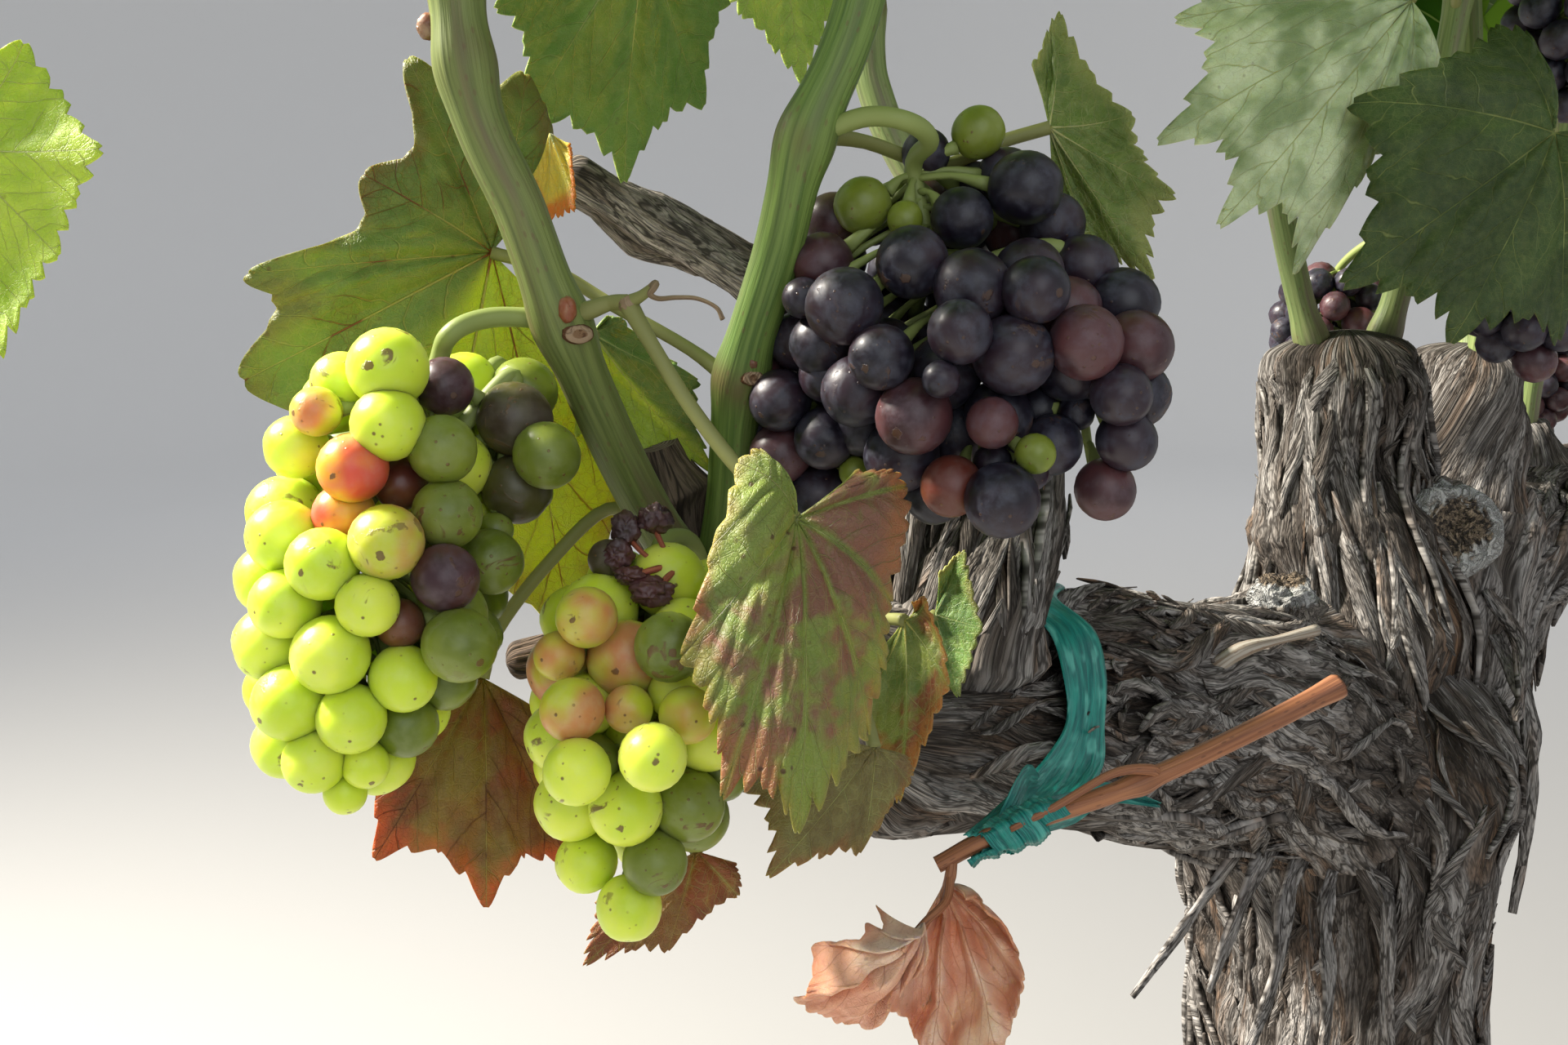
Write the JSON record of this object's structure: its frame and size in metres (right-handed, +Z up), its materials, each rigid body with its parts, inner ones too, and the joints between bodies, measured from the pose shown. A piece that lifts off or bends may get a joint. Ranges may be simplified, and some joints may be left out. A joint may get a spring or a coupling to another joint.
{
  "type": "grapevine",
  "caption": "Old cordon-trained grapevine: a gnarled trunk with two level arms, leafy green canes and ripening grape clusters, fixed at its flat cut foot.",
  "frame": {"origin": "the middle of the trunk's flat cut at ground level", "axes": "+Z up along the trunk, X along the two arms with the short fruiting arm towards -X, and -Y towards the side that the picture was taken from"},
  "size_m": [1.1204, 0.456, 1.6755],
  "materials": {
    "bark": "shredding, deeply ridged grey-brown bark",
    "old_bark": "weathered pale grey bark",
    "dead_wood": "dark dead wood, sawn or broken",
    "foliage": "green shoots with lobed leaves",
    "leaf_green": "satin green leaf with pale ribs",
    "leaf_yellow": "yellow-green leaf, turning red in patches",
    "leaf_bronze": "bronze and brown autumn leaf",
    "grape_green": "lime-green grape skin under a thin bloom",
    "grape_dark": "blue-black grape skin under a grey bloom",
    "tie": "thin stretchy green tape",
    "dry_cane": "smooth orange-brown dead cane",
    "dry_leaf": "crumpled pinkish-orange dried leaf"
  },
  "bodies": {
    "root": {"trunk": "bark", "head_spur": "bark", "arm_left": "bark", "knuckle_left": "bark", "spur_left": "bark", "arm_right": "bark", "spur_right_1": "bark", "spur_right_2": "bark", "spur_right_3": "bark", "spur_right_4": "bark", "head_burr": "old_bark", "old_cane": "old_bark", "stub_cut": "dead_wood", "stub_broken": "dead_wood", "cane_left_front": "foliage", "cane_left_back": "foliage", "cane_knuckle": "foliage", "cane_head_back": "foliage", "cane_head_front": "foliage", "cane_right_1": "foliage", "cane_right_2": "foliage", "cane_right_3": "foliage", "cane_right_4": "foliage", "cane_right_5": "foliage", "cane_right_6": "foliage", "cane_right_7": "foliage", "cane_right_8": "foliage", "leaf_left_broad": "leaf_green", "leaf_folded_back": "leaf_green", "leaf_right": "leaf_green", "leaf_middle": "leaf_green", "leaf_top": "leaf_green", "leaf_head_left": "leaf_green", "leaf_head_front": "leaf_green", "leaf_front": "leaf_yellow", "leaf_top_small": "leaf_yellow", "leaf_far_left": "leaf_yellow", "leaf_bronze": "leaf_bronze", "leaf_folded": "leaf_bronze", "leaf_low": "leaf_bronze", "leaf_bottom": "leaf_bronze", "cluster_left": "grape_green", "cluster_middle": "grape_green", "cluster_right": "grape_dark", "cluster_right_back": "grape_dark", "cluster_head": "grape_dark", "cluster_top": "grape_dark", "cluster_rear_1": "grape_dark", "cluster_front_1": "grape_dark", "cluster_rear_2": "grape_dark", "cluster_front_2": "grape_dark", "tie_tape": "tie", "dead_cane": "dry_cane", "dry_leaf": "dry_leaf"}
  },
  "joints": []
}
